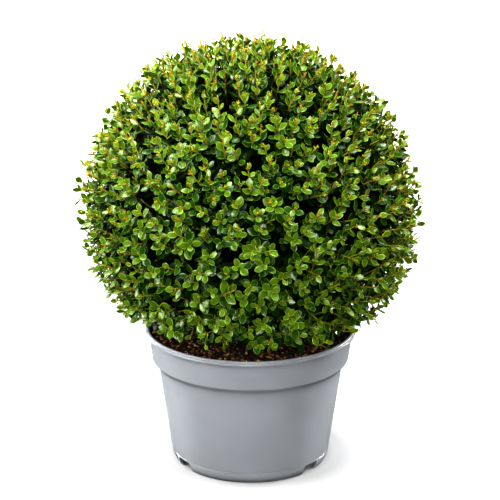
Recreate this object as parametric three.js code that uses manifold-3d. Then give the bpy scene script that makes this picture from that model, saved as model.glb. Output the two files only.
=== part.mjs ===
// A clipped Japanese holly ball in a grey moulded nursery pot.
// Millimetres, +Z up. The front is towards -Y, with +X to the right.
// The origin is on the floor, under the middle of the pot.

import * as THREE from 'three';
import { mergeVertices } from 'three/addons/utils/BufferGeometryUtils.js';
import { ConvexGeometry } from 'three/addons/geometries/ConvexGeometry.js';
import Module from 'manifold-3d';

const wasm = await Module();
wasm.setup();

// Gap between pieces that touch on the real plant
const GAP = 0.3;

// Pot: a rolled lip over a tapered collar, a slanted step, a tapered body and a foot ring
const POT_HEIGHT = 172;
const RIM_RADIUS = 130;
const MOUTH_RADIUS = 125.5;
const LIP_DEPTH = 6;
const LIP_ROUND = 1.5;
const COLLAR_TOP_RADIUS = 126;
const COLLAR_FOOT_RADIUS = 121.4;
const COLLAR_FOOT_HEIGHT = 133;
const BODY_TOP_RADIUS = 113.9;
const BODY_TOP_HEIGHT = 125;
const BODY_FOOT_RADIUS = 97.8;
const BODY_FOOT_HEIGHT = 14;
const FOOT_RADIUS = 88;
const WALL = 2;
const FOOT_WIDTH = 3;
const FLOOR_HEIGHT = 18;
const POT_SEGMENTS = 36;
const CORNER_STEPS = 3;

// Four wide notches and two small holes let water out under the pot
const NOTCH_HEIGHT = 14;
const NOTCH_WIDTH = 26;
const NOTCH_ROUND = 4;
const NOTCH_BOTTOM = -5;
const NOTCH_ANGLES = [50, 123, 230, 303];
const HOLE_HEIGHT = 14.5;
const HOLE_WIDTH = 7.5;
const HOLE_ROUND = 1.5;
const HOLE_BOTTOM = 9.5;
const HOLE_ANGLES = [110, 290];

// Compost: filled almost to the rim, a little higher in the middle
const COMPOST_EDGE_HEIGHT = 165.5;
const COMPOST_TOP_HEIGHT = 169;
const COMPOST_FLAT_RADIUS = 26;

// Ball: its middle, the mean reach of the shoots and how far the clipping line wanders
const BALL_CENTRE = new THREE.Vector3(0, 0, 329);
const TIP_RADIUS = 203;
const TIP_SHORT = 9;
const TIP_LONG = 8;
const LOWEST_LEAF = 178;

// Trunk: short, leaning a little, with a root flare on the compost
const TRUNK_FOOT = new THREE.Vector3(7, 4, COMPOST_TOP_HEIGHT + GAP);
const TRUNK_TOP = new THREE.Vector3(0, 0, 300);
const TRUNK_FOOT_RADIUS = 11.5;
const TRUNK_TOP_RADIUS = 6.5;
const FLARE_RADIUS = 7;
const FLARE_SHARE = 0.22;
const TRUNK_SIDES = 10;
const TRUNK_STEPS = 9;

// Boughs: one to the top and two tiers of five, on the corners of an icosahedron
const TIER_SIZE = 5;
const TIER_ELEVATION = Math.atan(0.5);
const UPPER_TURN = Math.PI / 2;
const LOWER_TURN = UPPER_TURN + Math.PI / TIER_SIZE;
const UPPER_FORKS = [0.68, 0.84];
const LOWER_FORKS = [0.3, 0.56];
const BOUGH_FOOT_RADIUS = 4.6;
const BOUGH_TIP_RADIUS = 2.8;
const BOUGH_REACH = 112;
const BOUGH_BEND = 48;
const BOUGH_SIDES = 6;
const BOUGH_STEPS = 5;

// Foliage: a core in each bough's share of the ball, with leafy shoots standing out of it
const CORE_RADIUS = 176;
const CORE_INSIDE = 120;
const CORE_BOTTOM = 192;
const CORE_DETAIL = 2;
const HUB_RADIUS = 134;
const KNEE_RADIUS = 160;
const CELL_MARGIN = 4.2;

// Shoots: spread evenly over the ball, each turning up a little towards the light
const SHOOT_COUNT = 186;
const SHOOT_LIFTS = [0.48, 0.3, 0.12, -0.06, -0.24];
const SHOOT_SIDES = 3;
const SHOOT_FOOT_RADIUS = 3.6;

// Leaves: oval, widest past the middle, larger than life because they are fewer
const LEAVES_ON_SHOOT = 4;
const LEAF_LENGTH = 34;
const LEAF_WIDTH = 20;
const LEAF_LOWER_AT = 0.36;
const LEAF_LOWER_SHARE = 0.84;
const LEAF_UPPER_AT = 0.7;
const LEAF_CUP = 2.4;
const LEAF_SINK = 0.4;
const LEAF_OPEN_LOW = THREE.MathUtils.degToRad(64);
const LEAF_OPEN_HIGH = THREE.MathUtils.degToRad(50);
const LEAF_ROOM = 8;
const LEAF_SWAY = 0.25;
const LEAF_HIGHEST = 0.56;

const GOLDEN_ANGLE = Math.PI * (3 - Math.sqrt(5));
const UP = new THREE.Vector3(0, 0, 1);
const SEED = 71;

// Colours from the photo
const POT_GREY = { color: 0x9b9ea3, roughness: 0.55, metalness: 0 };
const COMPOST_BROWN = { color: 0x3a2415, roughness: 0.95, metalness: 0 };
const BARK_BROWN = { color: 0x6b5640, roughness: 0.9, metalness: 0 };
const LEAF_GREEN = { color: 0x3f6b22, roughness: 0.4, metalness: 0 };

// Repeatable random numbers between 0 and 1
function seededRandom(seed) {
  let state = seed >>> 0;
  return () => {
    state = (state + 0x6d2b79f5) >>> 0;
    let mixed = Math.imul(state ^ (state >>> 15), state | 1);
    mixed ^= mixed + Math.imul(mixed ^ (mixed >>> 7), mixed | 61);
    return ((mixed ^ (mixed >>> 14)) >>> 0) / 2 ** 32;
  };
}

// A closed geometry as a solid that can be joined and cut, with its faces turned outwards
function solidOf(geometry) {
  const bare = geometry.clone();
  bare.deleteAttribute('normal');
  bare.deleteAttribute('uv');
  const merged = mergeVertices(bare, 1e-4);
  const places = merged.attributes.position;
  const corners = [];
  const [a, b, c] = [new THREE.Vector3(), new THREE.Vector3(), new THREE.Vector3()];
  let volume = 0;
  for (let i = 0; i < merged.index.count; i += 3) {
    const face = [0, 1, 2].map((k) => merged.index.getX(i + k));
    if (new Set(face).size < 3) continue;
    [a, b, c].forEach((corner, k) => corner.fromBufferAttribute(places, face[k]));
    volume += a.dot(b.cross(c));
    corners.push(face);
  }
  const outward = volume < 0 ? corners.map(([i, j, k]) => [i, k, j]) : corners;
  return new wasm.Manifold(new wasm.Mesh({
    numProp: 3,
    vertProperties: Float32Array.from(places.array),
    triVerts: Uint32Array.from(outward.flat()),
  }));
}

// A solid as a geometry again
function geometryOf(solid) {
  const mesh = solid.getMesh();
  const geometry = new THREE.BufferGeometry();
  geometry.setAttribute('position', new THREE.BufferAttribute(mesh.vertProperties, 3));
  geometry.setIndex(new THREE.BufferAttribute(mesh.triVerts, 1));
  geometry.computeVertexNormals();
  return geometry;
}

// The main piece of a solid: loose scraps and sealed hollows are left behind
function mainPiece(solid) {
  const pieces = solid.decompose();
  return pieces.reduce((best, piece) => (piece.volume() > best.volume() ? piece : best));
}

function join(solids) {
  return solids.reduce((joined, solid) => joined.add(solid));
}

function turned(profile) {
  const points = profile.map(([radius, height]) => new THREE.Vector2(radius, height));
  return new THREE.LatheGeometry(points, POT_SEGMENTS).rotateX(Math.PI / 2);
}

// Points on a quarter of an ellipse between two corners of a profile
function roundCorner(centre, reach, from, to, steps) {
  return Array.from({ length: steps + 1 }, (_, i) => {
    const angle = from + ((to - from) * i) / steps;
    return [centre[0] + reach[0] * Math.cos(angle), centre[1] + reach[1] * Math.sin(angle)];
  });
}

// Outer radius of the tapered body at a height
function bodyRadiusAt(height) {
  const { mapLinear } = THREE.MathUtils;
  return mapLinear(height, BODY_FOOT_HEIGHT, BODY_TOP_HEIGHT, BODY_FOOT_RADIUS, BODY_TOP_RADIUS);
}

// Inner face of the pot from the floor up to the lip, moved in by a clearance
function insideProfile(clearance) {
  const inset = WALL + clearance;
  return [
    [bodyRadiusAt(FLOOR_HEIGHT + inset) - inset, FLOOR_HEIGHT + inset],
    [BODY_TOP_RADIUS - inset, BODY_TOP_HEIGHT],
    [COLLAR_FOOT_RADIUS - inset, COLLAR_FOOT_HEIGHT + WALL],
    [COLLAR_TOP_RADIUS - inset, POT_HEIGHT - LIP_DEPTH - WALL],
  ];
}

function makePot() {
  const lipBottom = POT_HEIGHT - LIP_DEPTH;
  const footReach = [BODY_FOOT_RADIUS - FOOT_RADIUS, BODY_FOOT_HEIGHT];
  const footInner = FOOT_RADIUS - FOOT_WIDTH;
  const profile = [
    [0, FLOOR_HEIGHT],
    [BODY_FOOT_RADIUS - FOOT_WIDTH, FLOOR_HEIGHT],
    [BODY_FOOT_RADIUS - FOOT_WIDTH, BODY_FOOT_HEIGHT],
    [footInner, 0],
    ...roundCorner([FOOT_RADIUS, BODY_FOOT_HEIGHT], footReach, -Math.PI / 2, 0, CORNER_STEPS),
    [BODY_TOP_RADIUS, BODY_TOP_HEIGHT],
    [COLLAR_FOOT_RADIUS, COLLAR_FOOT_HEIGHT],
    [COLLAR_TOP_RADIUS, lipBottom - LIP_ROUND],
    [RIM_RADIUS - LIP_ROUND, lipBottom],
    [RIM_RADIUS, lipBottom + LIP_ROUND],
    [RIM_RADIUS, POT_HEIGHT - LIP_ROUND],
    [RIM_RADIUS - LIP_ROUND, POT_HEIGHT],
    [MOUTH_RADIUS, POT_HEIGHT],
    ...insideProfile(0).reverse(),
    [0, FLOOR_HEIGHT + WALL],
  ];
  const gaps = [
    ...NOTCH_ANGLES.map((angle) => makeGap(angle, NOTCH_WIDTH, NOTCH_BOTTOM, NOTCH_HEIGHT, NOTCH_ROUND)),
    ...HOLE_ANGLES.map((angle) => makeGap(angle, HOLE_WIDTH, HOLE_BOTTOM, HOLE_HEIGHT, HOLE_ROUND)),
  ];
  return gaps.reduce((pot, gap) => pot.subtract(gap), solidOf(turned(profile)));
}

// A block with rounded top corners, standing through the foot at an angle from the front
function makeGap(degrees, width, bottom, height, round) {
  const half = width / 2;
  const outline = new THREE.Shape();
  outline.moveTo(-half, bottom);
  outline.lineTo(half, bottom);
  outline.lineTo(half, height - round);
  outline.quadraticCurveTo(half, height, half - round, height);
  outline.lineTo(round - half, height);
  outline.quadraticCurveTo(-half, height, -half, height - round);
  const depth = 2 * (BODY_FOOT_RADIUS - FOOT_RADIUS + 2 * FOOT_WIDTH);
  const block = new THREE.ExtrudeGeometry(outline, { depth, bevelEnabled: false, curveSegments: 3 });
  block.rotateX(Math.PI / 2);
  block.translate(0, depth / 2 - BODY_FOOT_RADIUS, 0);
  return solidOf(block.rotateZ(THREE.MathUtils.degToRad(degrees)));
}

function makeCompost() {
  const inside = insideProfile(GAP);
  const edge = inside.at(-1)[0];
  return solidOf(turned([
    [0, inside[0][1]],
    ...inside.slice(0, -1),
    [edge, COMPOST_EDGE_HEIGHT - WALL],
    [edge - WALL, COMPOST_EDGE_HEIGHT],
    [(edge + COMPOST_FLAT_RADIUS) / 2, (COMPOST_EDGE_HEIGHT + COMPOST_TOP_HEIGHT) / 2],
    [COMPOST_FLAT_RADIUS, COMPOST_TOP_HEIGHT],
    [0, COMPOST_TOP_HEIGHT],
  ]));
}

// A limb: a cylinder bent along a curve, with its radius given along its length
function makeLimb(curve, radiusAt, sides, steps) {
  const limb = new THREE.CylinderGeometry(1, 1, 1, sides, steps);
  const frames = curve.computeFrenetFrames(steps, false);
  const places = limb.attributes.position;
  for (let i = 0; i < places.count; i += 1) {
    const along = places.getY(i) + 0.5;
    const step = Math.round(along * steps);
    const radius = radiusAt(along);
    const place = curve.getPointAt(step / steps);
    place.addScaledVector(frames.normals[step], radius * places.getX(i));
    place.addScaledVector(frames.binormals[step], radius * places.getZ(i));
    places.setXYZ(i, place.x, place.y, place.z);
  }
  return solidOf(limb);
}

function straightLimb(from, to, fromRadius, toRadius, sides) {
  const radiusAt = (along) => THREE.MathUtils.lerp(fromRadius, toRadius, along);
  return makeLimb(new THREE.LineCurve3(from, to), radiusAt, sides, 1);
}

const trunkBend = new THREE.Vector3(TRUNK_TOP.x, TRUNK_TOP.y, (TRUNK_FOOT.z + TRUNK_TOP.z) / 2);
const trunkCurve = new THREE.QuadraticBezierCurve3(TRUNK_FOOT, trunkBend, TRUNK_TOP);

// The foot ring of the trunk is laid flat on the compost by the cut below it
function makeTrunk(clearance) {
  const radiusAt = (along) => {
    const flare = Math.max(0, 1 - along / FLARE_SHARE);
    const taper = THREE.MathUtils.lerp(TRUNK_FOOT_RADIUS, TRUNK_TOP_RADIUS, along);
    return taper + FLARE_RADIUS * flare ** 2 + clearance;
  };
  const below = new THREE.BoxGeometry(6 * TRUNK_FOOT_RADIUS, 6 * TRUNK_FOOT_RADIUS, TRUNK_FOOT_RADIUS);
  below.translate(TRUNK_FOOT.x, TRUNK_FOOT.y, TRUNK_FOOT.z - TRUNK_FOOT_RADIUS / 2);
  return makeLimb(trunkCurve, radiusAt, TRUNK_SIDES, TRUNK_STEPS).subtract(solidOf(below));
}

// The eleven directions in which the boughs share out the ball
function tierDirections(tier, elevation, turn, forks) {
  return Array.from({ length: TIER_SIZE }, (_, i) => {
    const azimuth = turn + (2 * Math.PI * i) / TIER_SIZE;
    const direction = new THREE.Vector3(Math.cos(azimuth), Math.sin(azimuth), Math.tan(elevation));
    direction.normalize();
    const order = (2 * i) % TIER_SIZE;
    const fork = THREE.MathUtils.lerp(forks[0], forks[1], order / (TIER_SIZE - 1));
    return { name: `${tier}_${i + 1}`, direction, fork };
  });
}

const sectors = [
  { name: 'top', direction: UP.clone(), fork: 1 },
  ...tierDirections('upper', TIER_ELEVATION, UPPER_TURN, UPPER_FORKS),
  ...tierDirections('lower', -TIER_ELEVATION, LOWER_TURN, LOWER_FORKS),
];

function onRay(direction, radius) {
  return BALL_CENTRE.clone().addScaledVector(direction, radius);
}

function makeBough(sector, trunkRoom) {
  const foot = trunkCurve.getPointAt(sector.fork);
  const tip = onRay(sector.direction, BOUGH_REACH);
  const bend = onRay(sector.direction, BOUGH_REACH - BOUGH_BEND);
  const radiusAt = (along) => THREE.MathUtils.lerp(BOUGH_FOOT_RADIUS, BOUGH_TIP_RADIUS, along);
  if (sector.fork === 1) foot.z += GAP;
  const limb = makeLimb(new THREE.QuadraticBezierCurve3(foot, bend, tip), radiusAt, BOUGH_SIDES, BOUGH_STEPS);
  return sector.fork === 1 ? limb : mainPiece(limb.subtract(trunkRoom));
}

// Flat walls between a bough's share of the ball and its neighbours'
function wallsOf(sector) {
  return sectors.filter((other) => other !== sector).map((other) => {
    return other.direction.clone().sub(sector.direction).normalize();
  });
}

// How far a point stands outside its share of the ball; negative inside it
function overreach(point, walls, floor) {
  const offset = point.clone().sub(BALL_CENTRE);
  const past = walls.map((wall) => offset.dot(wall) + GAP);
  return Math.max(...past, floor - point.z);
}

// A block that covers everything past a plane
function pastPlane(normal, point) {
  const size = 4 * TIP_RADIUS;
  const block = new THREE.BoxGeometry(size, size, size).translate(0, 0, size / 2);
  block.applyQuaternion(new THREE.Quaternion().setFromUnitVectors(UP, normal));
  return solidOf(block.translate(point.x, point.y, point.z));
}

function makeCore(sector, walls) {
  const ball = new THREE.IcosahedronGeometry(CORE_RADIUS, CORE_DETAIL);
  ball.translate(BALL_CENTRE.x, BALL_CENTRE.y, BALL_CENTRE.z);
  const inward = sector.direction.clone().negate();
  const cuts = [
    ...walls.map((wall) => pastPlane(wall, onRay(wall, -GAP))),
    pastPlane(inward, onRay(sector.direction, CORE_INSIDE)),
    pastPlane(UP.clone().negate(), new THREE.Vector3(0, 0, CORE_BOTTOM)),
  ];
  return cuts.reduce((core, cut) => core.subtract(cut), solidOf(ball));
}

// Evenly spread directions, numbered from the top of the ball down
function shootDirections() {
  return Array.from({ length: SHOOT_COUNT }, (_, i) => {
    const height = 1 - (2 * i + 1) / SHOOT_COUNT;
    const flat = Math.sqrt(1 - height * height);
    const azimuth = i * GOLDEN_ANGLE;
    return new THREE.Vector3(flat * Math.cos(azimuth), flat * Math.sin(azimuth), height);
  });
}

// Distance from a point along a heading to a sphere round the middle of the ball
function reachTo(point, heading, radius) {
  const offset = point.clone().sub(BALL_CENTRE);
  const along = offset.dot(heading);
  return Math.sqrt(along * along + radius * radius - offset.lengthSq()) - along;
}

// A shoot bends at its knee, inside the core, and goes on outwards and up
function planShoot(direction, walls, random) {
  const knee = onRay(direction, KNEE_RADIUS);
  walls.forEach((wall) => {
    const past = overreach(knee, [wall], -Infinity) + CELL_MARGIN;
    if (past > 0) knee.addScaledVector(wall, -past);
  });
  const tipRadius = TIP_RADIUS + THREE.MathUtils.lerp(-TIP_SHORT, TIP_LONG, random());
  const twist = random() * 2 * Math.PI;
  for (const lift of SHOOT_LIFTS) {
    const heading = direction.clone().addScaledVector(UP, lift).normalize();
    const length = reachTo(knee, heading, tipRadius);
    const tip = knee.clone().addScaledVector(heading, length);
    if (overreach(tip, walls, LOWEST_LEAF) < -CELL_MARGIN) {
      return { knee, tip, heading, length, frame: frameAlong(heading, twist) };
    }
  }
  return null;
}

// Axes with Y along the heading, turned about it by a twist
function frameAlong(heading, twist) {
  const across = new THREE.Vector3().crossVectors(heading, UP).normalize();
  across.applyAxisAngle(heading, twist);
  return new THREE.Matrix4().makeBasis(across, heading, new THREE.Vector3().crossVectors(across, heading));
}

function makeShoot(shoot) {
  const spike = new THREE.ConeGeometry(SHOOT_FOOT_RADIUS, shoot.length, SHOOT_SIDES);
  spike.translate(0, shoot.length / 2, 0);
  spike.applyMatrix4(shoot.frame);
  return solidOf(spike.translate(shoot.knee.x, shoot.knee.y, shoot.knee.z));
}

const lowerEdge = [LEAF_LOWER_AT * LEAF_LENGTH, (LEAF_LOWER_SHARE * LEAF_WIDTH) / 2, 0.6 * LEAF_CUP];
const upperEdge = [LEAF_UPPER_AT * LEAF_LENGTH, LEAF_WIDTH / 2, LEAF_CUP];
const leafShape = [
  new THREE.Vector3(-LEAF_SINK, 0, 0),
  new THREE.Vector3(LEAF_LENGTH, 0, LEAF_CUP / 2),
  ...[lowerEdge, upperEdge].flatMap(([along, aside, raised]) => [
    new THREE.Vector3(along, aside, raised),
    new THREE.Vector3(along, -aside, raised),
  ]),
];

// The corners of a leaf that stands off one side of its shoot, upper face towards the shoot's tip
function placeLeaf(root, shoot, turn, opening) {
  const sideways = new THREE.Vector3(Math.sin(turn), 0, Math.cos(turn)).transformDirection(shoot.frame);
  const outward = shoot.heading.clone().multiplyScalar(Math.cos(opening));
  outward.addScaledVector(sideways, Math.sin(opening));
  const across = new THREE.Vector3().crossVectors(shoot.heading, outward).normalize();
  const face = new THREE.Vector3().crossVectors(outward, across);
  const pose = new THREE.Matrix4().makeBasis(outward, across, face).setPosition(root);
  return leafShape.map((corner) => corner.clone().applyMatrix4(pose));
}

// The leaves of one shoot: each takes the first side of it with room for a leaf
function planLeaves(shoot, walls, leaves, random) {
  const bare = reachTo(shoot.knee, shoot.heading, CORE_RADIUS + LEAF_CUP) / shoot.length;
  for (let i = 0; i < LEAVES_ON_SHOOT; i += 1) {
    const share = i / (LEAVES_ON_SHOOT - 1);
    const root = shoot.knee.clone().lerp(shoot.tip, THREE.MathUtils.lerp(bare, LEAF_HIGHEST, share));
    const opening = THREE.MathUtils.lerp(LEAF_OPEN_LOW, LEAF_OPEN_HIGH, share);
    const sway = LEAF_SWAY * (2 * random() - 1);
    for (let side = 0; side < SHOOT_SIDES; side += 1) {
      const turn = (2 * Math.PI * (i + side + 0.5)) / SHOOT_SIDES + sway;
      const leaf = placeLeaf(root, shoot, turn, opening);
      const inside = leaf.every((corner) => overreach(corner, walls, LOWEST_LEAF) < 0);
      if (inside && leaves.every((other) => clearOf(leaf, other))) {
        leaves.push(leaf);
        break;
      }
    }
  }
}

// Two leaves are clear where their outer halves are apart
function clearOf(leaf, other) {
  const apart = (corner) => other.slice(1).every((point) => corner.distanceTo(point) > LEAF_ROOM / 2);
  return leaf.slice(1).every(apart);
}

function makeFoliage(sector, directions, random) {
  const walls = wallsOf(sector);
  const hub = onRay(sector.direction, HUB_RADIUS);
  const stemFoot = onRay(sector.direction, BOUGH_REACH + GAP);
  const solids = [
    makeCore(sector, walls),
    straightLimb(stemFoot, hub, BOUGH_TIP_RADIUS, BOUGH_TIP_RADIUS, BOUGH_SIDES),
  ];
  const leaves = [];
  for (const direction of directions) {
    const shoot = planShoot(direction, walls, random);
    if (!shoot) continue;
    solids.push(straightLimb(hub, shoot.knee, SHOOT_FOOT_RADIUS, SHOOT_FOOT_RADIUS, SHOOT_SIDES));
    solids.push(makeShoot(shoot));
    planLeaves(shoot, walls, leaves, random);
  }
  leaves.forEach((leaf) => solids.push(solidOf(new ConvexGeometry(leaf))));
  return mainPiece(join(solids));
}

// The finished plant in its pot
const plant = new THREE.Group();

function addPart(name, solid, finish) {
  const mesh = new THREE.Mesh(geometryOf(solid), new THREE.MeshStandardMaterial(finish));
  mesh.name = name;
  plant.add(mesh);
}

addPart('pot', makePot(), POT_GREY);
addPart('compost', makeCompost(), COMPOST_BROWN);
addPart('trunk', makeTrunk(0), BARK_BROWN);

const trunkRoom = makeTrunk(GAP);
const random = seededRandom(SEED);
const shares = new Map(sectors.map((sector) => [sector, []]));
for (const direction of shootDirections()) {
  const nearness = (sector) => direction.dot(sector.direction);
  const nearest = sectors.reduce((best, sector) => (nearness(sector) > nearness(best) ? sector : best));
  shares.get(nearest).push(direction);
}

for (const sector of sectors) {
  addPart(`bough_${sector.name}`, makeBough(sector, trunkRoom), BARK_BROWN);
  addPart(`foliage_${sector.name}`, makeFoliage(sector, shares.get(sector), random), LEAF_GREEN);
}

export default plant;
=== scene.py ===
# %% [markdown]
# # A clipped holly ball in its nursery pot
# The real thing is a small-leaved evergreen shrub, clipped to a ball, in a grey moulded pot.
# The solids of the plant already give its sizes: this lesson dresses them.
# Every piece is made in metres in the same frame as the solids, so nothing has to be fitted.

import math

import bmesh
import bpy
import numpy as np
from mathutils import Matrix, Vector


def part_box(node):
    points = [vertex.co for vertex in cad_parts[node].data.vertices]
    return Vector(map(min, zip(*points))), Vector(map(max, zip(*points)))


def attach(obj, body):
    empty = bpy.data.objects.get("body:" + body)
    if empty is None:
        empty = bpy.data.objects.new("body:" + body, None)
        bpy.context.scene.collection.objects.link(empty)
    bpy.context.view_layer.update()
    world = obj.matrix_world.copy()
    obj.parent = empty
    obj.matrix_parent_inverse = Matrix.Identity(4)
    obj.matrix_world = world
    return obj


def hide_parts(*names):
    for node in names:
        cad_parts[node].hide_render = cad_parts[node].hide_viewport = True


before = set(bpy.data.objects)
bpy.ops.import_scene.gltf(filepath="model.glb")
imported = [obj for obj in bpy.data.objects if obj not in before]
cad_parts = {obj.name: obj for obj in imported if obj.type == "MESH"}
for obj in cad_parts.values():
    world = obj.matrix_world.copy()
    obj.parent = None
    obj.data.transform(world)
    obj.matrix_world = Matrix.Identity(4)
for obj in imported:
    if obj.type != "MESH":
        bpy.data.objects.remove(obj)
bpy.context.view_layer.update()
MM = 0.001
FOLIAGE = sorted(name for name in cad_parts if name.startswith("foliage_"))
BOUGHS = sorted(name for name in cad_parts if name.startswith("bough_"))
print("solids", len(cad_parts), "masses", len(FOLIAGE), "boughs", len(BOUGHS))


# %% [markdown]
# ## Helpers
# Colours are written as the sRGB hex values that a colour picker shows, and Blender wants them linear.
# One small function adds a node to any tree, for materials and for Geometry Nodes alike:
# it sets the node's properties, fills its inputs, and links an input where it is handed a socket.

# %% Colours and nodes
def linear(hex_colour):
    channels = [int(hex_colour[i:i + 2], 16) / 255 for i in (1, 3, 5)]
    curve = [c / 12.92 if c <= 0.04045 else ((c + 0.055) / 1.055) ** 2.4 for c in channels]
    return (*curve, 1.0)


def add(tree, kind, inputs=None, **settings):
    made = tree.nodes.new(kind)
    for name, value in settings.items():
        setattr(made, name, value)
    for socket, value in (inputs or {}).items():
        if isinstance(value, bpy.types.NodeSocket):
            tree.links.new(value, made.inputs[socket])
        else:
            made.inputs[socket].default_value = value
    return made


# %% Vectors and curves
def unit(vectors):
    return vectors / np.linalg.norm(vectors, axis=-1, keepdims=True)


def bend(start, middle, stop, t):
    t = np.asarray(t, dtype=float)[..., None]
    return (1 - t) ** 2 * start + 2 * t * (1 - t) * middle + t ** 2 * stop


# %% Meshes and pieces
def mesh_from(name, points, faces=(), edges=()):
    mesh = bpy.data.meshes.new(name)
    mesh.from_pydata([tuple(point) for point in points], list(edges), list(faces))
    mesh.update()
    return mesh


def object_from(name, mesh):
    made = bpy.data.objects.new(name, mesh)
    bpy.context.scene.collection.objects.link(made)
    return made


def hand_over(piece, slot, *nodes):
    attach(piece, "root")
    if nodes:
        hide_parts(*nodes)
    piece.data.calc_loop_triangles()
    print(piece.name, "triangles", len(piece.data.loop_triangles))


# %% [markdown]
# A Geometry Nodes tree only shows what it makes through a modifier.
# The finished shape is wanted as a plain mesh, so this helper sets the tree's named inputs
# by their identifiers, takes the evaluated result, and removes the modifier again.

# %% From nodes to a plain mesh
def new_tree(name, **inputs):
    tree = bpy.data.node_groups.new(name, "GeometryNodeTree")
    tree.interface.new_socket("Geometry", in_out="INPUT", socket_type="NodeSocketGeometry")
    for label, kind in inputs.items():
        tree.interface.new_socket(label, in_out="INPUT", socket_type=kind)
    tree.interface.new_socket("Geometry", in_out="OUTPUT", socket_type="NodeSocketGeometry")
    return tree, add(tree, "NodeGroupInput").outputs


def end_tree(tree, geometry, finish):
    real = add(tree, "GeometryNodeRealizeInstances", {"Geometry": geometry})
    smooth = add(tree, "GeometryNodeSetShadeSmooth", {"Geometry": real.outputs[0]})
    painted = add(tree, "GeometryNodeSetMaterial", {"Geometry": smooth.outputs[0], "Material": finish})
    add(tree, "NodeGroupOutput", {"Geometry": painted.outputs[0]})


def grown(name, mesh, tree, **inputs):
    piece = object_from(name, mesh)
    modifier = piece.modifiers.new(tree.name, "NODES")
    modifier.node_group = tree
    for item in tree.interface.items_tree:
        if item.in_out == "INPUT" and item.name in inputs:
            modifier[item.identifier] = inputs[item.name]
    piece.update_tag()
    evaluated = piece.evaluated_get(bpy.context.evaluated_depsgraph_get())
    result = bpy.data.meshes.new_from_object(evaluated)
    piece.modifiers.remove(modifier)
    piece.data = result
    return piece


# %% [markdown]
# ## Camera
# The camera stands where the photographer did: the ellipses of the pot's rim, collar and foot
# give its height and distance, and the width of the picture gives the long lens.

# %% Camera
IMAGE_WIDTH = 500
FOCAL_PIXELS = 2234
CAMERA_DISTANCE = 2.6
CAMERA_HEIGHT = 1.1095
CAMERA_ASIDE = -0.0006
CAMERA_PITCH = math.radians(17.9)

camera_data = bpy.data.cameras.new("camera")
camera_data.sensor_width = 36
camera_data.lens = camera_data.sensor_width * FOCAL_PIXELS / IMAGE_WIDTH
camera = object_from("camera", camera_data)
camera.location = (CAMERA_ASIDE, -CAMERA_DISTANCE, CAMERA_HEIGHT)
camera.rotation_euler = (math.pi / 2 - CAMERA_PITCH, 0, 0)
bpy.context.scene.camera = camera
print("lens", round(camera_data.lens, 1), "mm")

# %% [markdown]
# ## Floor
# A catalogue picture stands on white paper that runs up behind. A bright lamp on it would also light
# the plant, so the paper glows by itself, as painted light: not under the pot, which leaves a painted soft
# contact shadow, a little beside it, and fully some way off. The painted shadow lies a little towards the
# back right, away from the light. The paper throws no light back; the world does that more evenly.

# %% Floor
FLOOR_SIZE = 14.0
FLOOR_GLOW = 0.25
GLOW_MIDDLE = (0.002, 0.012, 0.0)
GLOW_EDGE = (0.082, 0.104)
FAR_GLOW = 0.32
FAR_EDGE = (0.112, 0.16)

floor_paint = bpy.data.materials.new("white_paper_sweep")
floor_paint.use_nodes = True
floor_shader = floor_paint.node_tree.nodes["Principled BSDF"]
floor_shader.inputs["Base Color"].default_value = linear("#c4c4c4")
floor_shader.inputs["Emission Color"].default_value = linear("#ffffff")
floor_shader.inputs["Roughness"].default_value = 0.9
floor_place = add(floor_paint.node_tree, "ShaderNodeTexCoord").outputs["Object"]
# Painted light: the emission is the paper's own glow, and where it fades under the pot it leaves a painted
# contact shadow.
from_middle = add(floor_paint.node_tree, "ShaderNodeVectorMath", {
    0: floor_place, 1: GLOW_MIDDLE}, operation="DISTANCE")
glow = add(floor_paint.node_tree, "ShaderNodeMapRange", {
    "Value": from_middle.outputs["Value"], "From Min": GLOW_EDGE[0], "From Max": GLOW_EDGE[1],
    "To Min": 0.0, "To Max": FLOOR_GLOW})
far_glow = add(floor_paint.node_tree, "ShaderNodeMapRange", {
    "Value": from_middle.outputs["Value"], "From Min": FAR_EDGE[0], "From Max": FAR_EDGE[1],
    "To Min": 0.0, "To Max": FAR_GLOW})
whole_glow = add(floor_paint.node_tree, "ShaderNodeMath", {0: glow.outputs[0], 1: far_glow.outputs[0]})
floor_paint.node_tree.links.new(whole_glow.outputs[0], floor_shader.inputs["Emission Strength"])
half = FLOOR_SIZE / 2
corners = [(-half, -half, 0), (half, -half, 0), (half, half, 0), (-half, half, 0)]
floor = object_from("floor", mesh_from("floor", corners, [(0, 1, 2, 3)]))
floor.data.materials.append(floor_paint)
floor.visible_diffuse = False
floor.visible_glossy = False

# %% [markdown]
# ## Light
# Waxy leaves mirror every lamp, and a small lamp would put a white dot on each of them.
# Large soft boxes give a broad pale sheen instead: the strongest on the left, one in front, one overhead,
# and weaker ones from the back left and the upper right that round the ball off.
# Three small gridded lamps reach little but the pot, and two more keep the far floor white.
# The world adds a faint glow, stronger from the ground, as the white paper would.

# %% Light
SKY_STRENGTH = 0.09
GROUND_STRENGTH = 0.175
PICTURE_GAMMA = 0.74

world = bpy.data.worlds.new("studio")
world.use_nodes = True
world.node_tree.nodes["Background"].inputs["Color"].default_value = linear("#ffffff")
looking = add(world.node_tree, "ShaderNodeTexCoord").outputs["Generated"]
height = add(world.node_tree, "ShaderNodeSeparateXYZ", {0: looking}).outputs["Z"]
ambient = add(world.node_tree, "ShaderNodeMapRange", {
    "Value": height, "From Min": -0.15, "From Max": 0.1, "To Min": GROUND_STRENGTH, "To Max": SKY_STRENGTH})
world.node_tree.links.new(ambient.outputs[0], world.node_tree.nodes["Background"].inputs["Strength"])
world.cycles_visibility.glossy = False
bpy.context.scene.world = world
bpy.context.scene.view_settings.view_transform = "Standard"
bpy.context.scene.view_settings.gamma = PICTURE_GAMMA


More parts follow.
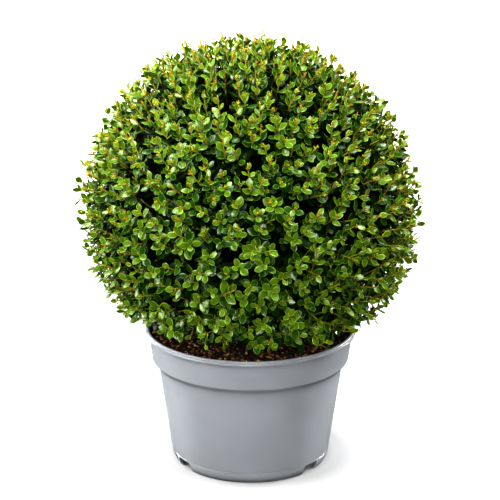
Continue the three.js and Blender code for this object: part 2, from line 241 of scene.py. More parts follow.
def soft_box(name, place, aim, size, power, spread=180, mirrored=True):
    data = bpy.data.lights.new(name, "AREA")
    data.shape = "DISK"
    data.size = size
    data.energy = power
    data.spread = math.radians(spread)
    box = object_from(name, data)
    direction = np.array(aim) - np.array(place)
    box.location = place
    box.visible_glossy = mirrored
    flat = math.hypot(direction[0], direction[1])
    box.rotation_euler = (math.atan2(flat, -direction[2]), 0, math.atan2(-direction[0], direction[1]))


BALL_AIM = (0, 0, 0.3)
soft_box("key_light", (-2.55, -0.5, 1.4), BALL_AIM, 2.0, 86)
soft_box("fill_light", (0.2, -2.5, 1.6), BALL_AIM, 1.7, 60)
soft_box("top_light", (0.0, 0.1, 2.7), BALL_AIM, 1.7, 82)
soft_box("back_left_light", (-2.1, 1.3, 1.2), BALL_AIM, 1.2, 12)
soft_box("side_light", (1.5, -0.5, 2.1), BALL_AIM, 0.9, 16)
soft_box("pot_bounce", (-0.14, -1.2, 0.02), (0.0, -0.08, 0.09), 0.3, 0.075, 14, mirrored=False)
soft_box("pot_rim_left", (-1.5, 0.9, 0.35), (-0.1, 0.0, 0.1), 0.25, 0.3, 10)
soft_box("pot_rim_right", (1.5, 0.9, 0.35), (0.1, 0.0, 0.11), 0.25, 0.34, 10)
soft_box("backdrop_light", (0.0, 3.0, 1.95), BALL_AIM, 3.2, 42)
soft_box("back_light", (0.0, 3.6, 3.4), (0.0, 3.6, 0.0), 4.0, 200, 40)


# %% [markdown]
# ## The pot
# A nursery pot is injection moulded in one piece: a rolled lip for carrying, a tapered collar,
# a slanted step, a tapered body and a foot ring with notches that let water out.
# Under the step the wall runs in a shallow hollow, which shows as a soft dark band.
# It could be modelled by hand from a cylinder, but a profile turned about the axis keeps every
# radius as a number, so the outline is a short list of arcs and lines.

# %% Pot profile
pot_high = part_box("pot")[1]
RIM = pot_high[0] / MM
HEIGHT = pot_high[2] / MM
MOUTH = RIM - 4.5
LIP_BOTTOM = HEIGHT - 6
COLLAR_TOP = RIM - 4
COLLAR_FOOT, COLLAR_FOOT_Z = RIM - 8.6, 133
BODY_TOP, BODY_TOP_Z = RIM - 16.1, 125
BODY_FOOT, BODY_FOOT_Z = 97.8, 14
FOOT, FOOT_WIDTH = 88, 3
WALL = 2
FLOOR_Z = 18
EDGE_ROUND = (1.2, 1.2)
STEP_HOLLOW = (14, 4.5)
SEAM = ((0.1, 14.7), (-0.15, 15.1), (0.2, 15.5))


def arc(centre, reach, start, stop, steps):
    angles = np.radians(np.linspace(start, stop, steps + 1))
    return [(centre[0] + reach[0] * math.cos(a), centre[1] + reach[1] * math.sin(a)) for a in angles]


def line(start, stop, steps):
    return [tuple(p) for p in np.linspace(start, stop, steps + 1)]


def towards(start, aim, distance):
    return np.array(start) + distance * unit(np.array(aim) - np.array(start))


def eased(before, corner, after, reaches, steps):
    start = towards(corner, before, reaches[0])
    stop = towards(corner, after, reaches[1])
    return [tuple(p) for p in bend(start, np.array(corner), stop, np.linspace(0, 1, steps + 1))]


seam = [(BODY_FOOT + outward, height) for outward, height in SEAM]
step_low = (BODY_TOP, BODY_TOP_Z)
step_high = (COLLAR_FOOT, COLLAR_FOOT_Z)
body_low = (BODY_FOOT, BODY_FOOT_Z)
outside = [
    *arc((FOOT, BODY_FOOT_Z), (BODY_FOOT - FOOT, BODY_FOOT_Z), -90, 0, 10),
    *seam,
    *line((BODY_FOOT + 0.4, 17), towards(step_low, body_low, STEP_HOLLOW[0] + 3), 10),
    *eased(body_low, step_low, step_high, STEP_HOLLOW, 8),
    *eased(step_low, step_high, (COLLAR_TOP, LIP_BOTTOM), EDGE_ROUND, 4),
    *line((COLLAR_FOOT + 0.5, COLLAR_FOOT_Z + 3.5), (COLLAR_TOP - 0.4, LIP_BOTTOM - 3), 5),
]
lip = [
    *arc((COLLAR_TOP + 2, LIP_BOTTOM - 2), (-2, 2), 0, 90, 4),
    *arc((RIM - 0.6, LIP_BOTTOM + 0.6), (0.6, 0.6), -90, 0, 3),
    *arc((RIM - 0.9, LIP_BOTTOM + 1.8), (0.9, 0.9), 0, 60, 3),
    (RIM - 1.2, LIP_BOTTOM + 3.1),
    *arc((RIM - 2.3, HEIGHT - 1.7), (1.7, 1.7), -35, 90, 7),
    *arc((MOUTH + 1.5, HEIGHT - 1.5), (1.5, 1.5), 90, 180, 5),
]
inside = [
    (COLLAR_TOP - WALL + 0.8, LIP_BOTTOM - 1.5),
    (COLLAR_TOP - WALL, LIP_BOTTOM - 4),
    (COLLAR_FOOT - WALL, COLLAR_FOOT_Z + 1),
    (BODY_TOP - WALL, BODY_TOP_Z + 0.5),
    (BODY_FOOT - WALL + 0.6, FLOOR_Z + WALL),
    (0, FLOOR_Z + WALL),
]
under = [
    (0, FLOOR_Z),
    (BODY_FOOT - FOOT_WIDTH - 1, FLOOR_Z),
    (BODY_FOOT - FOOT_WIDTH, FLOOR_Z - 1),
    *arc((FOOT - FOOT_WIDTH, BODY_FOOT_Z), (BODY_FOOT - FOOT, BODY_FOOT_Z), 0, -90, 6),
]
pot_profile = under + outside + lip + inside
print("pot profile points", len(pot_profile))

# %% Turn the profile
POT_SEGMENTS = 180


def turned(name, profile, segments):
    shape = bmesh.new()
    angles = np.arange(segments) * 2 * math.pi / segments
    rings = []
    for radius, height in profile:
        turns = angles if radius > 0 else angles[:1]
        rings.append([shape.verts.new((radius * MM * math.sin(a), -radius * MM * math.cos(a), height * MM))
                      for a in turns])
    for low, high in zip(rings, rings[1:]):
        for i in range(segments):
            j = (i + 1) % segments
            around = [low[i % len(low)], low[j % len(low)], high[j % len(high)], high[i % len(high)]]
            shape.faces.new(list(dict.fromkeys(around)))
    bmesh.ops.recalc_face_normals(shape, faces=shape.faces)
    mesh = bpy.data.meshes.new(name)
    shape.to_mesh(mesh)
    shape.free()
    return mesh


pot = object_from("pot_moulded", turned("pot_moulded", pot_profile, POT_SEGMENTS))
print("pot faces", len(pot.data.polygons))

# %% [markdown]
# The notches in the foot are cut with blocks that have rounded top corners.
# Each block stands through the ring at its own angle, and one Boolean takes them all out,
# so the edges of the wall show its real thickness.

# %% Cut the notches
NOTCHES = [(angle, 26, -5, 14, 4) for angle in (50, 123, 230, 303)]
DRAIN_HOLES = [(angle, 7.5, 9.5, 14.5, 1.5) for angle in (110, 290)]
NOTCH_DEPTH = 32
SHARP_FROM = math.radians(38)


def notch_block(degrees, width, bottom, height, rounding):
    top_right = arc((width / 2 - rounding, height - rounding), (rounding, rounding), 0, 90, 5)
    top_left = arc((rounding - width / 2, height - rounding), (rounding, rounding), 90, 180, 5)
    outline = [(width / 2, bottom), *top_right, *top_left, (-width / 2, bottom)]
    angle = math.radians(degrees)
    points = []
    for depth in (BODY_FOOT - NOTCH_DEPTH / 2, BODY_FOOT + NOTCH_DEPTH / 2):
        for aside, up in outline:
            x = depth * math.sin(angle) + aside * math.cos(angle)
            y = -depth * math.cos(angle) + aside * math.sin(angle)
            points.append((x * MM, y * MM, up * MM))
    count = len(outline)
    sides = [(i, (i + 1) % count, count + (i + 1) % count, count + i) for i in range(count)]
    return points, [tuple(range(count))[::-1], tuple(range(count, 2 * count)), *sides]


blocks = bmesh.new()
for notch in NOTCHES + DRAIN_HOLES:
    points, faces = notch_block(*notch)
    corners = [blocks.verts.new(point) for point in points]
    for face in faces:
        blocks.faces.new([corners[i] for i in face])
bmesh.ops.recalc_face_normals(blocks, faces=blocks.faces)
cutter_mesh = bpy.data.meshes.new("notch_blocks")
blocks.to_mesh(cutter_mesh)
blocks.free()
cutter = object_from("notch_blocks", cutter_mesh)

cut = pot.modifiers.new("notches", "BOOLEAN")
cut.operation = "DIFFERENCE"
cut.solver = "EXACT"
cut.object = cutter
pot_mesh = bpy.data.meshes.new_from_object(pot.evaluated_get(bpy.context.evaluated_depsgraph_get()))
pot.modifiers.remove(cut)
pot.data = pot_mesh
bpy.data.objects.remove(cutter)
pot.data.shade_smooth()
pot.data.set_sharp_from_angle(angle=SHARP_FROM)
print("pot faces after cutting", len(pot.data.polygons))

# %% [markdown]
# ### Moulded polypropylene
# The pot is grey polypropylene, injection moulded in a lightly textured steel mould.
# That gives an even colour with a very faint cloudiness, a soft broad highlight,
# and a fine pebbled grain that breaks the highlight up.

# %% Pot finish
GRAIN_MM = 1.1
CLOUD_MM = 60


def new_material(name, base, roughness, ior=1.45):
    material = bpy.data.materials.new(name)
    material.use_nodes = True
    shader = material.node_tree.nodes["Principled BSDF"]
    shader.inputs["Base Color"].default_value = linear(base)
    shader.inputs["Roughness"].default_value = roughness
    shader.inputs["IOR"].default_value = ior
    return material, material.node_tree, shader


def noise(tree, grain_mm, detail, stretch=None):
    place = add(tree, "ShaderNodeTexCoord").outputs["Object"]
    if stretch:
        place = add(tree, "ShaderNodeMapping", {"Vector": place, "Scale": stretch}).outputs[0]
    made = add(tree, "ShaderNodeTexNoise", {"Vector": place, "Scale": 1 / (grain_mm * MM), "Detail": detail})
    return made.outputs["Fac"]


def two_tones(tree, shader, pattern, dark, light, stops):
    tone = add(tree, "ShaderNodeValToRGB", {"Fac": pattern})
    for element, stop, colour in zip(tone.color_ramp.elements, stops, (dark, light)):
        element.position = stop
        element.color = linear(colour)
    tree.links.new(tone.outputs["Color"], shader.inputs["Base Color"])


def relief(tree, shader, pattern, strength, depth_mm):
    bump = add(tree, "ShaderNodeBump", {
        "Height": pattern, "Strength": strength, "Distance": depth_mm * MM})
    tree.links.new(bump.outputs["Normal"], shader.inputs["Normal"])


pot_plastic, tree, shader = new_material("moulded_polypropylene_grey", "#abaeb2", 0.32, 1.49)
two_tones(tree, shader, noise(tree, CLOUD_MM, 3.0), "#a7aaae", "#afb2b6", (0.3, 0.7))
relief(tree, shader, noise(tree, GRAIN_MM, 2.0), 0.09, 0.2)
pot.data.materials.clear()
pot.data.materials.append(pot_plastic)
hand_over(pot, "pot", "pot")


# %% [markdown]
# ## Compost
# The pot is filled almost to the lip with a peaty mix: near-black crumbs and rusty chips of bark.
# The lumpy bed is one closed mesh, and Geometry Nodes scatter the crumbs and chips over it,
# because nobody wants to place thousands of them by hand.

# %% Compost bed
BED_RINGS = 44
BED_SPOKES = 150
BED_RADIUS = COLLAR_TOP - WALL - 0.2
BED_EDGE_Z = 165.6
BED_MIDDLE_Z = 169.0
BED_BOTTOM_Z = 147
BED_LUMPS = 1.3
BED_GRAIN = 0.35
BED_TAPER = 0.975
BED_SEED = 26
rng = np.random.default_rng(BED_SEED)


def bed_height(radius, angle):
    swell = BED_EDGE_Z + (BED_MIDDLE_Z - BED_EDGE_Z) * (1 - (radius / BED_RADIUS) ** 2)
    waves = ((5.1, 9), (3.7, 17), (8.3, 5))
    lumps = sum(math.sin(radius / size + turn * angle + size) for size, turn in waves)
    return swell + BED_LUMPS * lumps / len(waves)


bed_points = [(0, 0, BED_MIDDLE_Z)]
for ring in range(1, BED_RINGS + 1):
    for spoke in range(BED_SPOKES):
        radius = BED_RADIUS * ring / BED_RINGS
        angle = 2 * math.pi * spoke / BED_SPOKES
        height = bed_height(radius, angle) + rng.normal(0, BED_GRAIN)
        bed_points.append((radius * math.sin(angle), -radius * math.cos(angle), height))
rim_start = 1 + (BED_RINGS - 1) * BED_SPOKES
base = len(bed_points)
for x, y, _ in bed_points[rim_start:]:
    bed_points.append((x * BED_TAPER, y * BED_TAPER, BED_BOTTOM_Z))
bed_faces = [(0, 1 + i, 1 + (i + 1) % BED_SPOKES) for i in range(BED_SPOKES)]
for start in [*range(1, rim_start, BED_SPOKES), rim_start]:
    for i in range(BED_SPOKES):
        j = (i + 1) % BED_SPOKES
        bed_faces.append((start + i, start + BED_SPOKES + i, start + BED_SPOKES + j, start + j))
bed_faces.append(tuple(range(base, base + BED_SPOKES))[::-1])
bed = object_from("compost_bed", mesh_from("compost_bed", np.array(bed_points) * MM, bed_faces))
bed.data.shade_smooth()
print("compost bed faces", len(bed.data.polygons))

# %% [markdown]
# ### Peat, crumbs and bark chips
# Damp peat is almost black and has no shine. Its crumbs dry to brown and bark chips to rust and tan,
# so each kind has its own finish, and a fine grain within it keeps two chips from looking alike.

# %% Compost finishes
PEAT_GRAIN_MM = 2.2
PEAT_ROUGHNESS = 0.92


def crumbly(name, dark, light):
    material, tree, shader = new_material(name, light, PEAT_ROUGHNESS, 1.4)
    grain = noise(tree, PEAT_GRAIN_MM, 5.0)
    two_tones(tree, shader, grain, dark, light, (0.35, 0.68))
    relief(tree, shader, grain, 0.6, 0.6)
    return material


peat = crumbly("damp_peat_sieved", "#050301", "#0e0804")
crumb_brown = crumbly("peat_crumb_dark", "#0e0803", "#472a12")
chip_rust = crumbly("bark_chip_rust", "#7a4a20", "#cf9450")
chip_tan = crumbly("bark_chip_tan", "#c39458", "#f4d4a4")
bed.data.materials.append(peat)
hand_over(bed, "compost", "compost")

# %% [markdown]
# The scatter tree puts points on the upward faces outside a bare middle, stands one lump on each,
# and turns and sizes every lump by a seeded random value. Realize Instances makes it real geometry.

# %% Scatter tree
scatter, ins = new_tree(
    "scatter_lumps", Lump="NodeSocketObject", Finish="NodeSocketMaterial", Spacing="NodeSocketFloat",
    Density="NodeSocketFloat", Smallest="NodeSocketFloat", Largest="NodeSocketFloat",
    Inner="NodeSocketFloat", Outer="NodeSocketFloat", Seed="NodeSocketInt")
where = add(scatter, "GeometryNodeInputPosition").outputs[0]
flat = add(scatter, "ShaderNodeVectorMath", {0: where, 1: (1, 1, 0)}, operation="MULTIPLY")
reach = add(scatter, "ShaderNodeVectorMath", {0: flat.outputs[0]}, operation="LENGTH").outputs["Value"]
outside_it = add(scatter, "FunctionNodeCompare", {0: reach, 1: ins["Inner"]}, operation="GREATER_THAN")
inside_it = add(scatter, "FunctionNodeCompare", {0: reach, 1: ins["Outer"]}, operation="LESS_THAN")
in_ring = add(scatter, "FunctionNodeBooleanMath", {0: outside_it.outputs[0], 1: inside_it.outputs[0]})
face_up = add(scatter, "ShaderNodeSeparateXYZ", {0: add(scatter, "GeometryNodeInputNormal").outputs[0]})
upward = add(scatter, "FunctionNodeCompare", {0: face_up.outputs["Z"], 1: 0.3}, operation="GREATER_THAN")
chosen = add(scatter, "FunctionNodeBooleanMath", {0: in_ring.outputs[0], 1: upward.outputs[0]})
spots = add(scatter, "GeometryNodeDistributePointsOnFaces", {
    "Mesh": ins["Geometry"], "Selection": chosen.outputs[0], "Distance Min": ins["Spacing"],
    "Density Max": ins["Density"], "Seed": ins["Seed"]}, distribute_method="POISSON")
spin = add(scatter, "FunctionNodeRandomValue", {"Min": (-0.5, -0.5, 0), "Max": (0.5, 0.5, 2 * math.pi),
                                                "Seed": ins["Seed"]}, data_type="FLOAT_VECTOR")
size = add(scatter, "FunctionNodeRandomValue", {2: ins["Smallest"], 3: ins["Largest"], "Seed": ins["Seed"]})
lump = add(scatter, "GeometryNodeObjectInfo", {"Object": ins["Lump"]})
strewn = add(scatter, "GeometryNodeInstanceOnPoints", {
    "Points": spots.outputs["Points"], "Instance": lump.outputs["Geometry"],
    "Rotation": spin.outputs[0], "Scale": size.outputs[1]})
end_tree(scatter, strewn.outputs[0], ins["Finish"])
print("scatter tree nodes", len(scatter.nodes))


# %% Crumbs and chips
LUMP_SPREAD = (0.75, 1.2)


def lump_object(name, stretch, seed):
    shape = bmesh.new()
    bmesh.ops.create_icosphere(shape, subdivisions=1, radius=0.5)
    draw = np.random.default_rng(seed)
    for vertex in shape.verts:
        vertex.co *= draw.uniform(*LUMP_SPREAD)
        vertex.co.x *= stretch[0]
        vertex.co.y *= stretch[1]
        vertex.co.z *= stretch[2]
    mesh = bpy.data.meshes.new(name)
    shape.to_mesh(mesh)
    shape.free()
    return object_from(name, mesh)


BED_CLEAR = 4
STREWN = [
    ("compost_crumbs", (1.0, 0.9, 0.85), crumb_brown, 4.4, 80000, 3.6, 8.6, 25, 5),
    ("compost_fines", (1.0, 0.8, 0.7), peat, 2.9, 160000, 2.0, 5.2, 40, 8),
    ("bark_chips_rust", (1.2, 0.8, 0.7), chip_rust, 5.2, 40000, 2.6, 7.4, 40, 11),
    ("bark_chips_tan", (1.2, 0.8, 0.7), chip_tan, 11.0, 9000, 2.6, 6.4, 40, 17),
]
for name, stretch, finish, spacing, density, smallest, largest, inner, seed in STREWN:
    lump_shape = lump_object(name + "_lump", stretch, seed)
    bed_copy = bed.data.copy()
    strewn_piece = grown(name, bed_copy, scatter, Lump=lump_shape, Finish=finish, Spacing=spacing * MM,
                         Density=float(density), Smallest=smallest * MM, Largest=largest * MM,
                         Inner=inner * MM, Outer=(BED_RADIUS - BED_CLEAR) * MM, Seed=seed)
    bpy.data.objects.remove(lump_shape)
    hand_over(strewn_piece, "compost")


# %% [markdown]
# ## Stem and boughs
# The shrub stands on one short leaning stem, hidden by the leaves, that forks into eleven boughs.
# They follow the same curves as the solids. A limb is a curve with a radius along it:
# Geometry Nodes sweep a ring along the curve, and a stretched noise pushes the wall in and out,
# which gives the long furrows of thin bark as real relief.

# %% The curves of the limbs
CENTRE = np.array([0.0, 0.0, 329.0])
UP = np.array([0.0, 0.0, 1.0])
NEAR_UP = UP + 0.01
GAP = 0.3
TRUNK_FOOT = np.array([7.0, 4.0, 169.0 + GAP])
TRUNK_TOP = np.array([0.0, 0.0, 300.0])
TIER = 5
TIER_ELEVATION = math.atan(0.5)
UPPER_FORKS = (0.68, 0.84)
LOWER_FORKS = (0.3, 0.56)
BOUGH_REACH = 112.0
BOUGH_BEND = 48.0
HUB_RADIUS = 134.0

trunk_middle = np.array([TRUNK_TOP[0], TRUNK_TOP[1], (TRUNK_FOOT[2] + TRUNK_TOP[2]) / 2])
sector_directions = [UP]
sector_forks = [1.0]
for elevation, turn, forks in ((TIER_ELEVATION, math.pi / 2, UPPER_FORKS),
                               (-TIER_ELEVATION, math.pi / 2 + math.pi / TIER, LOWER_FORKS)):
    for i in range(TIER):
        azimuth = turn + 2 * math.pi * i / TIER
        aim = np.array([math.cos(azimuth), math.sin(azimuth), math.tan(elevation)])
        sector_directions.append(unit(aim))
        sector_forks.append(forks[0] + (forks[1] - forks[0]) * ((2 * i) % TIER) / (TIER - 1))
sector_directions = np.array(sector_directions)
print("boughs", len(sector_directions))

# %% Limb tree
limb_tree, ins = new_tree(
    "limbs", Finish="NodeSocketMaterial", Sides="NodeSocketInt", Relief="NodeSocketFloat",
    Furrow="NodeSocketFloat", Closed="NodeSocketBool")
strand = add(limb_tree, "GeometryNodeMeshToCurve", {"Mesh": ins["Geometry"]})
thick = add(limb_tree, "GeometryNodeInputNamedAttribute", {"Name": "thick"}, data_type="FLOAT")
ring = add(limb_tree, "GeometryNodeCurvePrimitiveCircle", {"Resolution": ins["Sides"], "Radius": 1.0})
swept = add(limb_tree, "GeometryNodeCurveToMesh", {
    "Curve": strand.outputs[0], "Profile Curve": ring.outputs["Curve"],
    "Scale": thick.outputs[0], "Fill Caps": ins["Closed"]})
where = add(limb_tree, "GeometryNodeInputPosition").outputs[0]
stretched = add(limb_tree, "ShaderNodeVectorMath", {0: where, 1: (1.0, 1.0, 0.22)}, operation="MULTIPLY")
furrows = add(limb_tree, "ShaderNodeTexNoise", {
    "Vector": stretched.outputs[0], "Scale": ins["Furrow"], "Detail": 3.0})
depth = add(limb_tree, "ShaderNodeMath", {0: furrows.outputs["Fac"], 1: 0.5}, operation="SUBTRACT")
depth = add(limb_tree, "ShaderNodeMath", {0: depth.outputs[0], 1: ins["Relief"]}, operation="MULTIPLY")
outward = add(limb_tree, "GeometryNodeInputNormal").outputs[0]
push = add(limb_tree, "ShaderNodeVectorMath", {0: outward, "Scale": depth.outputs[0]}, operation="SCALE")
barked = add(limb_tree, "GeometryNodeSetPosition", {
    "Geometry": swept.outputs["Mesh"], "Offset": push.outputs[0]})
end_tree(limb_tree, barked.outputs[0], ins["Finish"])
print("limb tree nodes", len(limb_tree.nodes))


# %% Strands
def strand_mesh(name, strands):
    points = np.concatenate([path for path, _ in strands])
    widths = np.concatenate([radii for _, radii in strands])
    starts = np.cumsum([0] + [len(path) for path, _ in strands])
    edges = [(i, i + 1) for a, b in zip(starts, starts[1:]) for i in range(a, b - 1)]
    mesh = mesh_from(name, points * MM, edges=edges)
    attribute = mesh.attributes.new("thick", "FLOAT", "POINT")
    attribute.data.foreach_set("value", (widths * MM).astype(np.float32))
    return mesh


# %% [markdown]
# ### Bark
# Young holly bark is thin, grey-brown and smooth, with shallow furrows near the ground.
# A stretched noise darkens the furrows that the relief has made.

# %% Bark finish
BARK_FURROW_MM = 3.0
TWIG_FURROW_MM = 1.5
BARK_STRETCH = (1.0, 1.0, 0.25)


def bark_like(name, dark, light, furrow_mm, roughness):
    material, tree, shader = new_material(name, light, roughness)
    grain = noise(tree, furrow_mm, 4.0, BARK_STRETCH)
    two_tones(tree, shader, grain, dark, light, (0.32, 0.7))
    relief(tree, shader, grain, 0.4, 0.3)
    return material


bark = bark_like("holly_bark_grey_brown", "#3b2a1c", "#7d6a52", BARK_FURROW_MM, 0.85)
twig_bark = bark_like("holly_twig_brown", "#3a2412", "#6e4a26", TWIG_FURROW_MM, 0.75)

# %% Make stem and boughs
TRUNK_FOOT_RADIUS = 11.5
TRUNK_TOP_RADIUS = 6.5
FLARE = 7.0
FLARE_SHARE = 0.22
BOUGH_FOOT_RADIUS = 4.6
BOUGH_TIP_RADIUS = 2.8
TRUNK_POINTS = 60
BOUGH_POINTS = 40

along = np.linspace(0, 1, TRUNK_POINTS)
trunk_path = bend(TRUNK_FOOT, trunk_middle, TRUNK_TOP, along)
trunk_radii = TRUNK_FOOT_RADIUS + (TRUNK_TOP_RADIUS - TRUNK_FOOT_RADIUS) * along
trunk_radii = trunk_radii + FLARE * np.clip(1 - along / FLARE_SHARE, 0, None) ** 2
trunk = grown("stem_bark", strand_mesh("stem", [(trunk_path, trunk_radii)]), limb_tree,
              Finish=bark, Sides=28, Relief=2.2 * MM, Furrow=1 / (5 * MM), Closed=True)
hand_over(trunk, "bark", "trunk")

bough_strands = []
for direction, fork in zip(sector_directions, sector_forks):
    foot = bend(TRUNK_FOOT, trunk_middle, TRUNK_TOP, fork)
    path = bend(foot, CENTRE + direction * (BOUGH_REACH - BOUGH_BEND), CENTRE + direction * BOUGH_REACH,
                np.linspace(0, 1, BOUGH_POINTS))
    bough_strands.append((path, np.linspace(BOUGH_FOOT_RADIUS, BOUGH_TIP_RADIUS, BOUGH_POINTS)))
boughs = grown("boughs_bark", strand_mesh("boughs", bough_strands), limb_tree, Finish=bark, Sides=14,
               Relief=0.9 * MM, Furrow=1 / (3 * MM), Closed=True)
hand_over(boughs, "bark", *BOUGHS)


# %% [markdown]
# ## Growing the ball
# The rule is the same as in the solids: shoots belong to the nearest bough, bend at a knee
# and turn up towards the light. Here there are many more of them.
# Clipping makes the outside even and leaves the inside as it grew. So the tips come first, set evenly
# over the ball, and each shoot is traced back from its tip to its bend and its knee.
# Leaders reach the outline, shorter shoots fill in between, and old shoots stay inside: three layers.
# A ball clipped by hand is never quite round, so a slight swell stretches it along a slanted line.

# %% Shoots
LAYER_COUNTS = (850, 700, 560)
LOWEST_DIRECTION = math.sin(math.radians(-58))
LOWEST_TIP = 200.0
BEND_REACH = (154.0, 168.0)
LONGEST_SHOOT = 85.0
KNEE_RUN = 16.0
HEADING_SWAY = 0.22
LIFT = 0.48
LOW_LIFT = 0.35
LEADER_TIP = (201.5, 210.5)
MIDDLE_TIP = (192.0, 203.0)
INNER_TIP = (174.0, 192.0)
LOWEST_LEAF = 194.0
SWELL = 0.014
SWELL_AXIS = np.array([-0.5, 0.0, 0.87])
TIP_JITTER = 0.028
SEED = 71


def even_directions(count):
    i = np.arange(count)
    height = 1 - (2 * i + 1) / count
    azimuth = i * math.pi * (3 - math.sqrt(5))
    flat = np.sqrt(1 - height ** 2)
    return np.stack([flat * np.cos(azimuth), flat * np.sin(azimuth), height], axis=1)


rng = np.random.default_rng(SEED)
directions = np.concatenate([even_directions(layer_count) for layer_count in LAYER_COUNTS])
directions = unit(directions + rng.normal(0, TIP_JITTER, directions.shape))
layers = np.repeat(np.arange(len(LAYER_COUNTS)), LAYER_COUNTS)
reaches = np.array([LEADER_TIP, MIDDLE_TIP, INNER_TIP])[layers]
tip_radius = rng.uniform(reaches[:, 0], reaches[:, 1])
tip_radius = tip_radius * (1 + SWELL * (2 * (directions @ SWELL_AXIS) ** 2 - 1))
tips = CENTRE + directions * tip_radius[:, None]
lift = LIFT + LOW_LIFT * np.clip(-directions[:, 2:], 0, None)
headings = unit(directions + UP * lift + rng.normal(0, HEADING_SWAY, directions.shape))
forward = tip_radius * np.sum(directions * headings, axis=1)
bend_radius = rng.uniform(*BEND_REACH, len(directions))
lengths = forward - np.sqrt(np.clip(forward ** 2 - tip_radius ** 2 + bend_radius ** 2, 0, None))
lengths = np.minimum(lengths, LONGEST_SHOOT)
bends = tips - headings * lengths[:, None]
knees = bends - unit(bends - CENTRE) * KNEE_RUN
kept = tips[:, 2] > LOWEST_TIP
directions, layers, knees, headings = directions[kept], layers[kept], knees[kept], headings[kept]
bends, lengths, tips = bends[kept], lengths[kept], tips[kept]
count = len(tips)
print("shoots", count, "by layer", np.bincount(layers).tolist(), "top", round(tips[:, 2].max(), 1))

# %% [markdown]
# ### Twigs
# From the tip of each bough a short stem runs to a hub. Side twigs leave the hub for even points
# behind the leaves, and every shoot starts from the nearest of them. None of this shows much,
# but it is what carries the leaves, and it closes the view into the ball.

# %% Twigs
SIDE_TWIGS = 170
SIDE_REACH = 140.0
SIDE_SWAY = 3
SIDE_RADII = (2.3, 1.3)
HUB_SHARE = 0.93
HUB_STEM_RADII = (BOUGH_TIP_RADIUS, 2.4)
FEEDER_RADII = (1.25, 1.0)
FEEDER_LIFT = 2

side_directions = even_directions(SIDE_TWIGS)
side_directions = side_directions[side_directions[:, 2] > LOWEST_DIRECTION]
side_sector = np.argmax(side_directions @ sector_directions.T, axis=1)
hubs = CENTRE + sector_directions * HUB_RADIUS * HUB_SHARE
side_ends = CENTRE + side_directions * SIDE_REACH
twig_strands = [(np.array([CENTRE + d * (BOUGH_REACH + GAP), h]), np.array(HUB_STEM_RADII))
                for d, h in zip(sector_directions, hubs)]
inner_paths = []
for end, sector in zip(side_ends, side_sector):
    middle = (hubs[sector] + end) / 2 + rng.normal(0, SIDE_SWAY, 3)
    inner_paths.append((hubs[sector], middle, end))
    twig_strands.append((bend(*inner_paths[-1], np.linspace(0, 1, 6)), np.linspace(*SIDE_RADII, 6)))
nearest = np.argmax(unit(knees - CENTRE) @ side_directions.T, axis=1)
for i in range(count):
    start = side_ends[nearest[i]]
    middle = (start + knees[i]) / 2 + headings[i] * FEEDER_LIFT
    inner_paths.append((start, middle, knees[i]))
    twig_strands.append((bend(*inner_paths[-1], np.linspace(0, 1, 4)), np.linspace(*FEEDER_RADII, 4)))
twigs = grown("twigs_brown", strand_mesh("twigs", twig_strands), limb_tree, Finish=twig_bark, Sides=4,
              Relief=0.2 * MM, Furrow=1 / (2 * MM), Closed=True)
hand_over(twigs, "bark")

# %% [markdown]
# ### Young stems
# The last stretch of a shoot is this year's wood: yellow-green to orange, and it shows between
# the leaves. The lower stretch is older and brown. They are swept as separate pieces,
# so each takes its own plain finish.

# %% Stem finishes and stems
STEM_SPLIT = 0.72
STEM_POINTS = 4
OLD_RADII = (1.05, 0.9)
YOUNG_RADII = (0.82, 0.74)
ORANGE_SHARE = 0.36

young_yellow = bark_like("young_stem_yellow_green", "#a69c22", "#d2c644", 2.0, 0.5)
young_orange = bark_like("young_stem_orange", "#ac8c28", "#d6b646", 2.0, 0.5)


def shoot_points(i, t):
    return bend(knees[i], bends[i], tips[i], t)


def crosswise(heading):
    side = unit(np.cross(heading, NEAR_UP))
    return side, np.cross(heading, side)


old_stems, yellow_stems, orange_stems = [], [], []
stem_tint = rng.random(count)
for i in range(count):
    low = np.linspace(0, STEM_SPLIT, STEM_POINTS)
    high = np.linspace(STEM_SPLIT, 1, STEM_POINTS)
    old_stems.append((shoot_points(i, low), np.linspace(*OLD_RADII, STEM_POINTS)))
    young = orange_stems if stem_tint[i] < ORANGE_SHARE else yellow_stems
    young.append((shoot_points(i, high), np.linspace(*YOUNG_RADII, STEM_POINTS)))
for name, strands, finish, sides in (("stems_old_brown", old_stems, twig_bark, 4),
                                     ("stems_young_yellow", yellow_stems, young_yellow, 5),
                                     ("stems_young_orange", orange_stems, young_orange, 5)):
    stems = grown(name, strand_mesh(name, strands), limb_tree, Finish=finish, Sides=sides, Relief=0.0,
                  Furrow=1 / (2 * MM), Closed=True)
    hand_over(stems, "foliage")

# %% [markdown]
# ### One leaf
# The leaf is oval, widest a little past the middle, on a very short stalk, with its edges rolled down.
# It is a strip of a few faces, one unit long, with a midrib: smooth shading does the rest.
# The margin is a thin strip of its own along each side, so it can take its own plain colour: a paler one, a
# painted highlight where the rolled edge catches the light.
# Leaves further in need no margin, and those in the shade only three rows,
# because thousands of them have to stay light.

# %% Leaf shape
LEAF_ROWS = ((0.2, 0.5), (0.42, 0.95), (0.64, 0.98), (0.84, 0.62))
LEAF_ACROSS = ((-0.8, -0.08), (-0.43, 0.0), (0.0, -0.06), (0.43, 0.0), (0.8, -0.08))
LEFT_MARGIN = ((-1.0, -0.14), (-0.8, -0.08))
RIGHT_MARGIN = ((0.8, -0.08), (1.0, -0.14))
PLAIN_ACROSS = ((-1.0, -0.15), (0.0, -0.02), (1.0, -0.15))
SHADE_ROWS = ((0.25, 0.7), (0.54, 1.0), (0.82, 0.68))
SHADE_ACROSS = ((-1.0, -0.25), (0.0, 0.0), (1.0, -0.25))
LEAF_ARCH = 0.16
LEAF_SLIM = 0.56


